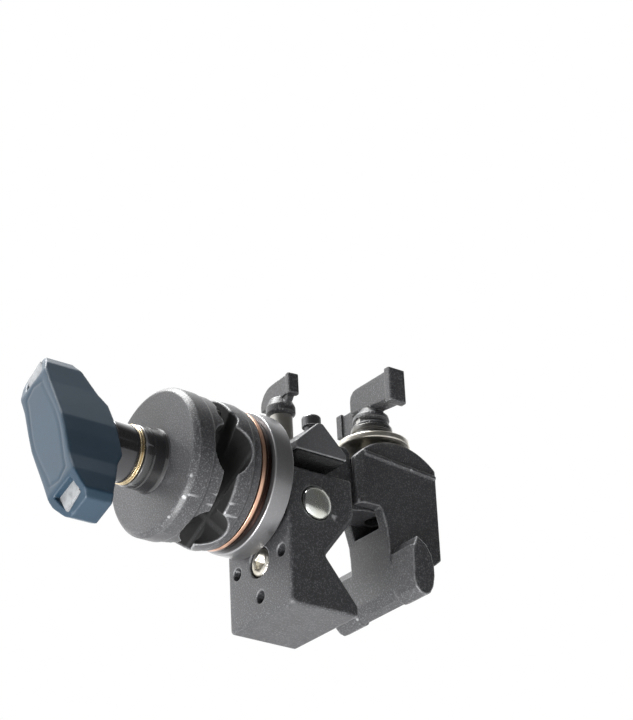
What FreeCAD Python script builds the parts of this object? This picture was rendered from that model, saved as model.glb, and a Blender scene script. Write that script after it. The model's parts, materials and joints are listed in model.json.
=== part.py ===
import FreeCAD, Part
import math
import os
import Sketcher

os.makedirs("parts", exist_ok=True)
doc = FreeCAD.newDocument("super_clamp")
Vector = FreeCAD.Vector

# Row frame: the origin is the middle of the tube seat, +X runs from the grip knob to the moving jaw,
# +Y runs along the tube and +Z points to the T-handle.
DIMENSIONS = {
    # clamp body
    "jaw_reach": 42.3, "block_len": 34.0, "block_width": 43.2, "block_top": 36.9, "block_base": 25.1,
    "vee_apex": 22.8, "vee_half": 18.0, "vee_bevel": 1.8, "edge_round": 1.4,
    "ridge_top": 42.2, "ridge_half": 6.6, "ridge_foot": 9.8, "tower_rad": 6.5, "tower_top": 57.0,
    "tongue_half": 8.0, "tongue_low": 29.0, "shoulder_end": 3.0, "shoulder_top": 60.0,
    "screw_hole_ring": 15.4, "screw_hole_rad": 2.75, "screw_hole_deep": 11.0,
    "counterbore_rad": 6.7, "counterbore_deep": 7.0,
    # pivot, nut and moving jaw
    "pivot_pos": 11.5, "pivot_lift": 42.0, "pivot_rad": 4.0, "pivot_lobe": 9.5,
    "screw_pos": 22.7, "nut_lift": 44.0, "nut_rad": 7.0, "nut_lobe": 11.0, "spring_seat": 7.4,
    "jaw_width": 26.8, "head_pos": 25.7, "head_lift": 36.4, "head_rad": 29.6, "jaw_corner": 2.4,
    "bore_end": 11.8, "jaw_left": 3.2, "jaw_right": 46.4, "cheek_low": 33.4, "foot_span": 56.0,
    "foot_width": 14.0, "jaw_face": 18.0, "slot_half": 5.7, "side_gap": 0.4,
    # T-handle and its screw
    "clamp_screw_rad": 5.0, "thread_gap": 0.06, "washer_low": 66.5, "washer_thick": 2.8, "washer_rad": 16.3,
    "clamp_screw_top": 82.5, "handle_half": 19.8, "web_half": 4.0, "web_top": 98.2, "flange_half": 4.5,
    "flange_thick": 3.6, "flange_top": 99.3, "flange_low": 83.0, "collar_rad": 9.2, "hub_rad": 8.2,
    "handle_pin_lift": 79.4,
    # stud socket, lock and button
    "grip_height": 33.0, "stud_flats": 16.0, "stud_gap": 0.06, "socket_deep": 27.0, "stud_len": 25.8,
    "neck_rad": 6.0, "neck_half": 4.6, "lock_pos": -27.3, "lock_rad": 4.0, "shank_rad": 5.0, "tip_len": 2.0,
    "button_lift": 22.1, "button_rad": 7.3, "plunger_rad": 3.9, "button_gap": 0.06, "well_deep": 9.6,
    # wedge
    "wedge_left": -39.1, "wedge_right": -12.6, "wedge_low": 42.5, "pad_thick": 1.1, "wedge_eave": 47.0,
    "wedge_peak": 58.2, "wedge_half": 24.8, "peg_rad": 4.1, "peg_top": 63.2, "peg_place": 18.8,
    # grip head
    "base_left": -54.6, "base_right": -45.3, "base_rad": 30.8, "ring_left": -60.6, "ring_rad": 29.9,
    "inner_left": -73.0, "inner_right": -61.2, "inner_rad": 31.3, "inner_step": -65.7,
    "outer_left": -95.3, "outer_right": -79.3, "outer_rad": 31.75, "outer_step": -85.7,
    "channel_mid": -76.15, "rod_big": 9.5, "rod_big_off": 14.8, "rod_small": 5.0, "rod_small_off": 12.0,
    "main_rad": 4.75, "screw_end": -37.4, "boss_left": -106.3, "boss_rad": 13.2, "rings_left": -108.9,
    "sleeve_left": -119.6, "sleeve_rad": 12.3, "knob_front": -146.3, "knob_back_tip": -128.6, "knob_half": 40.0,
    "knob_end": 10.0, "knob_waist": 12.2,
}

sheet = doc.addObject("Spreadsheet::Sheet", "Dims")
for row, (alias, value) in enumerate(DIMENSIONS.items(), start=1):
    sheet.set(f"A{row}", alias)
    sheet.set(f"B{row}", str(value))
    sheet.setAlias(f"B{row}", alias)
doc.recompute()


class Size:
    """A number together with the spreadsheet expression that gives it."""

    def __init__(self, number, text=None):
        self.number = float(number)
        self.text = text if text is not None else repr(float(number))

    def _join(self, other, sign, number):
        return Size(number, f"({self.text} {sign} {other.text})")

    def __add__(self, other):
        other = as_size(other)
        return self._join(other, "+", self.number + other.number)

    def __radd__(self, other):
        return as_size(other) + self

    def __sub__(self, other):
        other = as_size(other)
        return self._join(other, "-", self.number - other.number)

    def __rsub__(self, other):
        return as_size(other) - self

    def __mul__(self, other):
        other = as_size(other)
        return self._join(other, "*", self.number * other.number)

    __rmul__ = __mul__

    def __truediv__(self, other):
        other = as_size(other)
        return self._join(other, "/", self.number / other.number)

    def __neg__(self):
        return Size(-self.number, f"(0 - {self.text})")


def as_size(value):
    return value if isinstance(value, Size) else Size(value)


class Dims:
    """Gives every spreadsheet alias as a Size, so that d.block_len is bound wherever it is used."""

    def __getattr__(self, alias):
        return Size(DIMENSIONS[alias], f"Dims.{alias}")


d = Dims()
NODES = []
PLANES = {"X": "YZ_Plane", "Y": "XZ_Plane", "Z": "XY_Plane"}


def bind(item, prop, size):
    """Binds a length property to the sheet."""
    item.setExpression(prop, f"({as_size(size).text}) * 1mm")


def new_body(label, x=0.0, y=0.0, z=0.0):
    """A PartDesign body that becomes one node, placed by expressions."""
    body = doc.addObject("PartDesign::Body", label)
    body.Label = label
    place_node(body, x, y, z)
    return body


def place_node(item, x, y, z):
    """Registers an object as a node and binds its place."""
    for axis, size in zip("xyz", (x, y, z)):
        item.setExpression(f"Placement.Base.{axis}", as_size(size).text)
    NODES.append(item)


def new_sketch(body, axis, offset=0.0):
    """A sketch on the body's own origin plane across the axis, moved along the plane's normal."""
    sketch = body.newObject("Sketcher::SketchObject", f"{body.Name}_sketch")
    plane = next(item for item in body.Origin.OriginFeatures if item.Role == PLANES[axis])
    sketch.AttachmentSupport = [(plane, "")]
    sketch.MapMode = "FlatFace"
    sketch.setExpression("AttachmentOffset.Base.z", as_size(offset).text)
    return sketch


def fix_point(sketch, index, end, across, up):
    """Holds a sketch point at a bound distance from the sketch's origin."""
    for kind, size in (("DistanceX", as_size(across)), ("DistanceY", as_size(up))):
        number = sketch.addConstraint(Sketcher.Constraint(kind, -1, 1, index, end, size.number))
        sketch.setExpression(f"Constraints[{number}]", f"({size.text}) * 1mm")


def polygon(*points):
    """A shape function that draws a closed outline through the points."""
    def draw(sketch):
        corners = [(as_size(across), as_size(up)) for across, up in points]
        first = sketch.GeometryCount
        for start, (across, up) in enumerate(corners):
            next_across, next_up = corners[(start + 1) % len(corners)]
            sketch.addGeometry(Part.LineSegment(Vector(across.number, up.number, 0),
                                                Vector(next_across.number, next_up.number, 0)))
        for index in range(len(corners)):
            following = first + (index + 1) % len(corners)
            sketch.addConstraint(Sketcher.Constraint("Coincident", first + index, 2, following, 1))
            fix_point(sketch, first + index, 1, *corners[index])
    return draw


def circle(radius, across=0.0, up=0.0):
    """A shape function that draws one circle."""
    def draw(sketch):
        size = as_size(radius)
        centre = Vector(as_size(across).number, as_size(up).number, 0)
        index = sketch.addGeometry(Part.Circle(centre, Vector(0, 0, 1), size.number))
        number = sketch.addConstraint(Sketcher.Constraint("Radius", index, size.number))
        sketch.setExpression(f"Constraints[{number}]", f"({size.text}) * 1mm")
        fix_point(sketch, index, 3, across, up)
    return draw


def rectangle(low_across, low_up, high_across, high_up):
    return polygon((low_across, low_up), (high_across, low_up),
                   (high_across, high_up), (low_across, high_up))


def hexagon(flats, across=0.0, up=0.0):
    """A hexagon with one flat up, by its width across flats."""
    half = as_size(flats) * 0.5
    corner = as_size(flats) * (1 / math.sqrt(3))
    return polygon(*[(across + corner * x, up + half * y) for x, y in
                     ((1, 0), (0.5, 1), (-0.5, 1), (-1, 0), (-0.5, -1), (0.5, -1))])


def together(*shapes):
    def draw(sketch):
        for shape in shapes:
            shape(sketch)
    return draw


def pad(body, axis, shape, low, high):
    """Adds material between two places on the axis."""
    low, high = as_size(low), as_size(high)
    sketch = new_sketch(body, axis, -high if axis == "Y" else low)
    shape(sketch)
    feature = body.newObject("PartDesign::Pad", f"{body.Name}_pad")
    feature.Profile = sketch
    bind(feature, "Length", high - low)
    doc.recompute()
    return feature


def pocket(body, axis, shape, low, high):
    """Takes material away between two places on the axis and checks that some went."""
    low, high = as_size(low), as_size(high)
    before = body.Shape.Volume
    sketch = new_sketch(body, axis, -low if axis == "Y" else high)
    shape(sketch)
    feature = body.newObject("PartDesign::Pocket", f"{body.Name}_pocket")
    feature.Profile = sketch
    bind(feature, "Length", high - low)
    doc.recompute()
    if body.Shape.Volume > before - 0.01:
        raise RuntimeError(f"{body.Label}: {feature.Name} removed nothing")
    return feature


def turn(body, shape, axis, cut=False, plane="Y"):
    """Turns a profile once round the axis, X or Z, to add or to cut."""
    before = body.Shape.Volume if cut else 0.0
    sketch = new_sketch(body, plane)
    shape(sketch)
    kind = "PartDesign::Groove" if cut else "PartDesign::Revolution"
    feature = body.newObject(kind, f"{body.Name}_turn")
    feature.Profile = sketch
    across_axis = "X" if plane == "Y" else "Y"
    feature.ReferenceAxis = (sketch, ["H_Axis" if axis == across_axis else "V_Axis"])
    feature.Angle = 360.0
    doc.recompute()
    if cut and body.Shape.Volume > before - 0.01:
        raise RuntimeError(f"{body.Label}: {feature.Name} removed nothing")
    return feature


def soften(body, size, chosen, kind="PartDesign::Fillet"):
    """Rounds or chamfers the edges of the tip that the test picks by their two end points."""
    tip = body.Tip
    names = []
    for number, edge in enumerate(tip.Shape.Edges, start=1):
        ends = [vertex.Point for vertex in edge.Vertexes]
        if len(ends) == 2 and chosen(*ends):
            names.append(f"Edge{number}")
    feature = body.newObject(kind, f"{body.Name}_soft")
    feature.Base = (tip, names)
    bind(feature, "Radius" if kind == "PartDesign::Fillet" else "Size", size)
    doc.recompute()
    if not names or "Invalid" in feature.State or feature.Shape.isNull():
        raise RuntimeError(f"{body.Label}: {feature.Name} failed on {len(names)} edges")
    return feature


def near(first, second, gap=0.05):
    return abs(first - second) < gap


def make_clamp_body():
    """Fixed jaw, stud housing, lock tower and the tongue that carries the pivot and the nut."""
    body = new_body("clamp_body")
    left, right = -d.jaw_reach, d.block_len - d.jaw_reach
    half = d.block_width * 0.5
    pad(body, "Y", polygon((left, -d.block_base), (right, -d.block_base), (right, -d.vee_half),
                           (-d.vee_apex, 0), (right, d.vee_half), (right, d.block_top),
                           (left, d.block_top)), -half, half)
    low_lip, high_lip = right.number, DIMENSIONS["vee_half"]
    soften(body, 1.2, lambda a, b: near(a.x, -DIMENSIONS["vee_apex"])
           and near(b.x, -DIMENSIONS["vee_apex"]) and near(a.z, 0))
    soften(body, d.vee_bevel, lambda a, b: near(abs(a.y), half.number) and near(a.y, b.y)
           and abs(a.z) <= high_lip + 0.05 and abs(b.z) <= high_lip + 0.05
           and not (near(a.x, low_lip) and near(b.x, low_lip)) and not near(a.z, b.z, 2.0),
           "PartDesign::Chamfer")
    soften(body, d.edge_round, lambda a, b:
           (near(abs(a.y), half.number) and near(a.y, b.y)
            and (near(a.x, left.number) and near(b.x, left.number)
                 or near(a.z, b.z) and near(abs(a.z - 5.9), 31.0)))
           or (near(a.x, b.x) and near(a.z, b.z) and near(abs(a.z - 5.9), 31.0)))
    top = d.ridge_top
    pad(body, "X", polygon((-d.ridge_foot, d.block_top - 2), (d.ridge_foot, d.block_top - 2),
                           (d.ridge_foot, d.block_top), (d.ridge_half, top), (-d.ridge_half, top),
                           (-d.ridge_foot, d.block_top)), left + 2, right)
    pad(body, "Y", polygon((right - 3, d.tongue_low), (d.pivot_pos, d.pivot_lift - d.pivot_lobe),
                           (d.screw_pos, d.nut_lift - d.nut_lobe), (d.screw_pos, d.nut_lift + d.nut_lobe),
                           (d.pivot_pos, d.pivot_lift + d.pivot_lobe), (d.shoulder_end, d.shoulder_top - 7),
                           (d.shoulder_end, d.shoulder_top - 2), (d.shoulder_end - 2, d.shoulder_top),
                           (right, d.shoulder_top), (right - 3, d.shoulder_top - 4)),
        -d.tongue_half, d.tongue_half)
    pad(body, "Y", circle(d.pivot_lobe, d.pivot_pos, d.pivot_lift), -d.tongue_half, d.tongue_half)
    pad(body, "Y", circle(d.nut_lobe, d.screw_pos, d.nut_lift), -d.tongue_half, d.tongue_half)
    pad(body, "Z", circle(d.tower_rad, d.lock_pos, 0), d.ridge_top - 4, d.tower_top)
    pocket(body, "X", hexagon(d.stud_flats + d.stud_gap * 2, 0.0, d.grip_height), left, left + d.socket_deep)
    ring = d.screw_hole_ring
    pocket(body, "X", together(circle(d.screw_hole_rad, ring, 0), circle(d.screw_hole_rad, -ring, 0),
                               circle(d.screw_hole_rad, 0, ring), circle(d.screw_hole_rad, 0, -ring)),
           left, left + d.screw_hole_deep)
    pocket(body, "X", circle(d.counterbore_rad, 0, 0), left, left + d.counterbore_deep)
    pocket(body, "X", circle(3.06, 0, 0), left, -d.vee_apex - 3.5)
    pocket(body, "Z", circle(d.lock_rad + d.thread_gap, d.lock_pos, 0), d.grip_height, d.tower_top)
    pocket(body, "Z", circle(d.shank_rad + 0.3, d.lock_pos, 0), d.tower_top - 5, d.tower_top)
    pocket(body, "Y", circle(d.plunger_rad + d.button_gap, d.lock_pos, d.button_lift), -half, half)
    pocket(body, "Y", circle(d.button_rad + 0.35, d.lock_pos, d.button_lift), -half, -half + 4.2)
    pocket(body, "Y", circle(d.plunger_rad + 2.4, d.lock_pos, d.button_lift), half - d.well_deep, half)
    pocket(body, "Y", circle(d.pivot_rad, d.pivot_pos, d.pivot_lift), -d.tongue_half, d.tongue_half)
    pocket(body, "Y", circle(d.nut_rad, d.screw_pos, d.nut_lift), -d.tongue_half, d.tongue_half)
    pocket(body, "Z", circle(d.clamp_screw_rad + 0.5, d.screw_pos, 0), d.tongue_low, d.nut_lift + 13)
    pocket(body, "Z", circle(d.spring_seat, d.screw_pos, 0), d.nut_lift + d.nut_rad + 0.6, d.nut_lift + 13)
    return body


def make_moving_jaw():
    """Bell-crank jaw: a forked rounded head under the washer and two feet under the tube."""
    body = new_body("moving_jaw", d.pivot_pos, 0, d.pivot_lift)

    def local(*points):
        return polygon(*[(x - d.pivot_pos, z - d.pivot_lift) for x, z in points])
    half = d.jaw_width * 0.5
    face = d.jaw_face
    arc_side = d.head_lift + 19.0
    pad(body, "Y", local((d.jaw_left, d.cheek_low), (14.4, d.cheek_low), (face - 1.0, 24.0), (face, 6.0),
                         (face, -4.0), (face + 2.2, -8.6), (23.7, -9.8), (29.0, -4.6), (34.4, 2.6),
                         (39.0, 10.6), (42.6, 19.4), (44.8, 27.6), (d.jaw_right, 36.0), (d.jaw_right, 57.4), (40.5, 61.4),
                         (33.4, 64.8), (25.7, 66.0), (18.0, 65.0), (10.8, 61.9), (d.jaw_left + 2.6, 57.2),
                         (d.jaw_left, arc_side - 3.6)), -half, half)
    pad(body, "Y", circle(d.head_rad, d.head_pos - d.pivot_pos, d.head_lift - d.pivot_lift), -half, half)
    trim = 30.0
    pocket(body, "Y", local((d.jaw_left - trim, 0), (d.jaw_left, 0), (d.jaw_left, 90), (d.jaw_left - trim, 90)),
           -half, half)
    pocket(body, "Y", local((d.jaw_right, 0), (d.jaw_right + trim, 0), (d.jaw_right + trim, 90),
                            (d.jaw_right, 90)), -half, half)
    pocket(body, "Y", local((d.jaw_left - 3, 0), (face, 6.0), (face - 1.0, 24.0), (14.4, d.cheek_low),
                            (d.jaw_left - 3, d.cheek_low)), -half, half)
    span = d.foot_span * 0.5
    pad(body, "Y", local((face, 12.0), (face, -4.0), (face + 2.2, -8.6), (22.8, -9.6), (25.6, -5.0),
                         (27.0, 4.0), (24.5, 12.0)), -span + 1, span - 1)
    for side in (-1, 1):
        low, high = (side * span, side * (span - d.foot_width))
        if side > 0:
            low, high = high, low
        pad(body, "Y", local((face + 0.2, 9.0), (face, -4.4), (face + 1.0, -7.4), (face + 3.2, -9.6),
                             (23.7, -10.3), (26.4, -9.0), (28.4, -5.6), (29.4, -1.0), (29.4, 4.0),
                             (28.2, 9.0), (25.6, 13.2), (face + 3.0, 16.0)), low, high)
    inner = d.tongue_half + d.side_gap
    pocket(body, "Y", local((d.jaw_left - 1, 26.0), (12.2, 26.0), (12.2, 80.0), (d.jaw_left - 1, 80.0)),
           -inner, inner)
    pocket(body, "Y", local((12.0, 26.0), (36.0, 26.0), (38.6, 32.0), (38.6, 56.2), (33.0, 59.2),
                            (25.7, 60.4), (18.4, 59.2), (12.0, 56.2)), -inner, inner)
    pocket(body, "Z", rectangle(d.jaw_left - 1 - d.pivot_pos, -d.slot_half, 40.0 - d.pivot_pos, d.slot_half),
           d.nut_lift - d.pivot_lift + 8, d.washer_low - d.pivot_lift)
    pocket(body, "Y", circle(d.pivot_rad + 0.05, 0, 0), -d.bore_end, half)
    corner = d.jaw_corner
    edge = d.jaw_left - d.pivot_pos
    for side in (-1, 1):
        pocket(body, "Z", polygon((edge, half * side), (edge + corner, half * side),
                                  (edge, (half - corner) * side)), -10.0, 16.0)
    for side in (-1, 1):
        low, high = (-half - 0.9, -half + 1) if side < 0 else (half - 1, half + 0.9)
        pad(body, "Y", local((6.6, 56.3), (45.8, 53.1), (45.8, 54.9), (6.6, 58.1)), low, high)
    return body


def make_pivot():
    """Dowel through the tongue and both cheeks, blind in the near cheek, with a clip on the far one."""
    half = d.jaw_width * 0.5
    pin = new_body("pivot_pin", d.pivot_pos, 0, d.pivot_lift)
    groove = half + 0.5
    pad(pin, "Y", circle(d.pivot_rad), -d.bore_end + 0.2, half + 1.8)
    pocket(pin, "Y", together(circle(d.pivot_rad + 1), circle(d.pivot_rad - 0.6)), groove, groove + 0.8)
    clip = new_body("pivot_clip", d.pivot_pos, 0, d.pivot_lift)
    pad(clip, "Y", together(circle(6.0), circle(d.pivot_rad - 0.58)), groove + 0.05, groove + 0.75)
    pocket(clip, "Y", rectangle(-2.3, -7.0, 2.3, -2.0), groove + 0.05, groove + 0.75)


def spring(label, mean_radius, wire, length, turns, axis, x, y, z):
    """Coil spring that starts at the given place and runs along the axis."""
    helix = Part.makeHelix((length - wire) / turns, length - wire, mean_radius)
    section = Part.Wire(Part.makeCircle(wire / 2, Vector(mean_radius, 0, 0), Vector(0, 1, 0)))
    item = doc.addObject("Part::Feature", label)
    item.Label = label
    item.Shape = Part.Wire(helix).makePipeShell([section], True, True)
    turnings = {"X": (Vector(0, 1, 0), 90), "Y": (Vector(1, 0, 0), -90), "Z": (Vector(0, 0, 1), 0)}
    item.Placement.Rotation = FreeCAD.Rotation(*turnings[axis])
    start = {"X": (wire / 2, 0, 0), "Y": (0, wire / 2, 0), "Z": (0, 0, wire / 2)}[axis]
    place_node(item, x + start[0], y + start[1], z + start[2])


def make_clamp_screw():
    """Barrel nut, screw, washer and T-handle on the clamping axis."""
    nut = new_body("barrel_nut", d.screw_pos, 0, d.nut_lift)
    pad(nut, "Y", circle(d.nut_rad), -d.tongue_half, d.tongue_half)
    pocket(nut, "Z", circle(d.clamp_screw_rad + d.thread_gap), -d.nut_rad, d.nut_rad)

    screw = new_body("clamp_screw", d.screw_pos, 0, 0)
    rad = d.clamp_screw_rad
    top = d.washer_low + d.washer_thick
    end = d.clamp_screw_top
    turn(screw, polygon((0, 37.0), (rad - 1, 37.0), (rad, 38.0), (rad, top), (rad, end), (0, end)), "Z")

    spring("jaw_return_spring", 6.15, 1.15, 7.4, 4, "Z", d.screw_pos, 0, d.nut_lift + d.nut_rad + 0.7)

    washer = new_body("thrust_washer", d.screw_pos, 0, d.washer_low)
    rim = d.washer_rad
    turn(washer, polygon((rad + 0.06, 0), (rim - 0.6, 0), (rim, 0.6), (rim, d.washer_thick - 0.6),
                         (rim - 0.6, d.washer_thick), (rad + 0.06, d.washer_thick)), "Z")

    collar = new_body("handle_collar", d.screw_pos, 0, top)
    outer = d.collar_rad
    turn(collar, polygon((rad, 0.1), (outer + 1.4, 0.1), (outer + 1.8, 0.9), (outer + 1.4, 1.9),
                         (outer, 2.4), (outer, 3.6), (outer - 0.6, 4.0), (outer - 0.6, 5.0),
                         (outer, 5.4), (outer, 7.4), (rad, 7.4)), "Z")

    handle = new_body("t_handle", d.screw_pos, 0, 0)
    reach, hub, wide = d.handle_half, top + 7.4, d.hub_rad
    face = -reach + d.flange_thick
    half = d.web_half
    low = d.flange_low
    top_line = d.web_top
    pad(handle, "X", polygon((face - 1, low + 0.2), (9.2, low + 3.2), (9.2, top_line - 4.6), (8.6, top_line - 2.2),
                             (6.6, top_line - 0.4), (4.6, top_line), (face - 1, top_line)), -half, half)
    soften(handle, 1.6, lambda a, b: near(abs(a.x), half.number) and near(a.x, b.x) and a.z < 89 and b.z < 89
           and abs(a.y - b.y) > 10, "PartDesign::Chamfer")
    turn(handle, polygon((0, hub), (wide, hub), (wide, hub + 1.6), (wide - 0.9, hub + 2.2),
                         (wide - 0.9, hub + 3.4), (wide, hub + 4.0), (wide - 0.4, hub + 6.0),
                         (half - 0.4, hub + 10.4), (0, hub + 10.4)), "Z")
    pad(handle, "X", polygon((0, hub + 0.4), (14, hub + 1.0), (reach - 1, hub + 2.8), (reach - 1, 90.2),
                             (8.0, 89.6), (0, 89.6)), -2.6, 2.6)
    pad(handle, "Y", rectangle(-d.flange_half, low, d.flange_half, d.flange_top), -reach, face)
    pad(handle, "Y", rectangle(-3.6, hub + 2.8, 3.6, 90.6), reach - d.flange_thick, reach)
    pocket(handle, "Z", circle(rad), hub, end)
    for item in (handle, screw):
        pocket(item, "X", circle(1.5, 0, d.handle_pin_lift), -wide - 0.2, wide + 0.2)
    soften(handle, 0.9, lambda a, b: near(a.y, -reach.number) and near(b.y, -reach.number))

    pin = new_body("handle_pin", d.screw_pos, 0, d.handle_pin_lift)
    pad(pin, "X", circle(1.5), -wide + 0.9, wide - 0.9)


def make_lock():
    """Wing knob and screw that clamp the stud from above."""
    shank = new_body("lock_screw", d.lock_pos, 0, 0)
    tip = d.grip_height + d.neck_rad + d.tip_len + 0.35
    pressure_tip = new_body("lock_tip", d.lock_pos, 0, 0)
    pad(pressure_tip, "Z", circle(d.lock_rad - 0.4), tip - d.tip_len - 0.05, tip - 0.05)
    turn(shank, polygon((0, tip), (3.2, tip), (d.lock_rad, tip + 0.8), (d.lock_rad, d.tower_top + 0.8),
                        (d.shank_rad, d.tower_top + 1.4), (d.shank_rad, 70.6), (3.0, 70.6), (3.0, 78.0),
                        (0, 78.0)), "Z")
    knob = new_body("lock_knob", d.lock_pos, 0, 0)
    turn(knob, polygon((0, 70.6), (5.2, 70.6), (6.4, 71.8), (6.4, 74.6), (4.6, 78.6), (0, 78.6)), "Z")
    pad(knob, "X", polygon((-10.6, 78.6), (-5.6, 72.6), (5.6, 72.6), (12.2, 78.6)), -1.5, 1.5)
    pad(knob, "X", polygon((-10.0, 77.8), (12.8, 77.6), (13.0, 79.6), (12.4, 82.0), (11.0, 84.2), (8.9, 85.8),
                           (6.4, 86.8), (3.6, 87.1), (-10.0, 86.4)), -2.2, 2.2)
    pad(knob, "Y", rectangle(-2.6, 77.0, 2.6, 86.6), -12.0, -9.2)
    pocket(knob, "Z", circle(3.0), 70.6, 78.0)
    soften(knob, 0.8, lambda a, b: near(a.y, -12.0) and near(b.y, -12.0))
    pin_lift = 75.2
    pin = new_body("lock_pin", d.lock_pos, 0, pin_lift)
    pad(pin, "Y", circle(1.0), -5.4, 5.4)
    pocket(knob, "Y", circle(1.0, 0, pin_lift), -5.4, 5.4)
    pocket(shank, "Y", circle(1.0, 0, pin_lift), -3.2, 3.2)
    for item in (shank, knob, pin):
        item.Placement.Rotation = FreeCAD.Rotation(Vector(0, 0, 1), -6.7)


def make_button():
    """Stud safety button: domed cap, waisted plunger, return spring and end clip."""
    half = d.block_width * 0.5
    cap = new_body("stud_button", d.lock_pos, 0, d.button_lift)
    rad, stem = d.button_rad, d.plunger_rad
    pad(cap, "Y", circle(rad), -half - 0.6, -half + 0.9)
    turn(cap, polygon((-half - 0.6, 0), (-half - 0.6, rad), (-half - 1.6, rad - 0.7), (-half - 2.5, rad - 2.2),
                      (-half - 3.1, rad - 4.3), (-half - 3.3, 0)), "Y", plane="X")
    clip_low = half - d.well_deep + 0.1
    pad(cap, "Y", circle(stem), -half + 0.8, clip_low + 1.4)
    turn(cap, polygon((-9.0, stem + 1), (-9.0, 2.6), (3.1, 2.6), (3.1, stem + 1)), "Y", cut=True, plane="X")
    turn(cap, polygon((clip_low, stem + 1), (clip_low, stem - 0.6), (clip_low + 0.8, stem - 0.6),
                      (clip_low + 0.8, stem + 1)), "Y", cut=True, plane="X")
    clip = new_body("button_clip", d.lock_pos, 0, d.button_lift)
    pad(clip, "Y", together(circle(5.6), circle(stem - 0.58)), clip_low + 0.05, clip_low + 0.75)
    plug = new_body("button_plug", d.lock_pos, 0, d.button_lift)
    pad(plug, "Y", circle(d.plunger_rad + 2.4), half - 1.4, half)
    pocket(plug, "Y", circle(1.2), half - 1.4, half)
    spring("button_spring", 4.6, 0.7, 3.4, 3, "Y", d.lock_pos, half - 5.0, d.button_lift)


def make_wedge():
    """Flat-surface wedge stored round the lock tower: casting, ribbed rubber pad and two pegs."""
    middle = (d.wedge_left + d.wedge_right) * 0.5
    wedge = new_body("wedge_block", middle, 0, 0)
    reach = (d.wedge_right - d.wedge_left) * 0.5
    seam = d.wedge_low + d.pad_thick
    long = d.wedge_half
    pad(wedge, "Y", polygon((-reach, seam), (reach, seam), (reach, d.wedge_eave - 0.6), (1.5, d.wedge_peak),
                            (-0.9, d.wedge_peak), (-reach, d.wedge_eave)), -long, long)
    soften(wedge, 1.2, lambda a, b: near(a.x, b.x) and near(a.z, b.z) and near(a.z, DIMENSIONS["wedge_peak"]))
    soften(wedge, 0.6, lambda a, b: near(abs(a.y), long.number) and near(a.y, b.y) and a.z > 46.6 or
           near(abs(a.y), long.number) and near(a.y, b.y) and b.z > 46.6)
    bore = d.tower_rad + 0.5
    pocket(wedge, "Z", circle(bore, d.lock_pos - middle, 0), seam, d.wedge_peak + 1)
    for side in (-1, 1):
        pocket(wedge, "Z", circle(d.peg_rad - 1, 0, d.peg_place * side), d.wedge_peak - 9, d.wedge_peak)

    rubber = new_body("wedge_pad", middle, 0, 0)
    inset = 0.7
    pad(rubber, "Z", rectangle(-reach + inset, -long + inset, reach - inset, long - inset), d.wedge_low, seam)
    soften(rubber, 0.8, lambda a, b: near(a.x, b.x) and near(a.y, b.y))
    pocket(rubber, "Z", circle(bore, d.lock_pos - middle, 0), d.wedge_low, seam)

    pegs = doc.addObject("Part::Feature", "wedge_pegs")
    pegs.Label = "wedge_pegs"
    numbers = DIMENSIONS
    solids = []
    for side in (-1, 1):
        foot = numbers["wedge_peak"] - 9
        stem = Part.makeCylinder(numbers["peg_rad"] - 1, 9, Vector(0, side * numbers["peg_place"], foot))
        head = Part.makeCylinder(numbers["peg_rad"], numbers["peg_top"] - numbers["wedge_peak"],
                                 Vector(0, side * numbers["peg_place"], numbers["wedge_peak"]))
        rims = [edge for edge in head.Edges if edge.Vertexes[0].Z > numbers["peg_top"] - 0.1
                and hasattr(edge.Curve, "Radius")]
        solids.append(stem.fuse(head.makeFillet(1.1, rims)).removeSplitter())
    pegs.Shape = Part.makeCompound(solids)
    place_node(pegs, middle, 0, 0)


def channel(radius, offset, side):
    """A rod channel across the jaw faces, given by its radius, distance from the axis and normal angle."""
    angle = math.radians(side)
    normal = Vector(0, -math.cos(angle), math.sin(angle))
    along = Vector(0, math.sin(angle), math.cos(angle))
    start = Vector(DIMENSIONS["channel_mid"], 0, 0) + normal * offset - along * 40
    return Part.makeCylinder(radius, 80, start, along)


def cut_channels(body, label):
    """Cuts the four rod channels out of a turned jaw disc and registers the result as the node."""
    numbers = DIMENSIONS
    tools = [channel(numbers["rod_big"], numbers["rod_big_off"], -62),
             channel(numbers["rod_big"], numbers["rod_big_off"], -134),
             channel(numbers["rod_small"], numbers["rod_small_off"], -38.6),
             channel(numbers["rod_small"] - 1, numbers["rod_small_off"], 141.4)]
    cutter = doc.addObject("Part::Feature", f"{label}_channels")
    cutter.Shape = tools[0].multiFuse(tools[1:])
    cut = doc.addObject("Part::Cut", label)
    cut.Label = label
    cut.Base = body
    cut.Tool = cutter
    doc.recompute()
    place_node(cut, 0, 0, d.grip_height)


def jaw_disc(label, profile, holes, hole_rad, low, high):
    body = doc.addObject("PartDesign::Body", f"{label}_blank")
    turn(body, profile, "X")
    for across, up in holes:
        pocket(body, "X", circle(hole_rad, across, up), low, high)
    cut_channels(body, label)


def pin_spots():
    return [(-math.cos(math.radians(angle)) * 25.4, math.sin(math.radians(angle)) * 25.4)
            for angle in (118, 52)]


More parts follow.
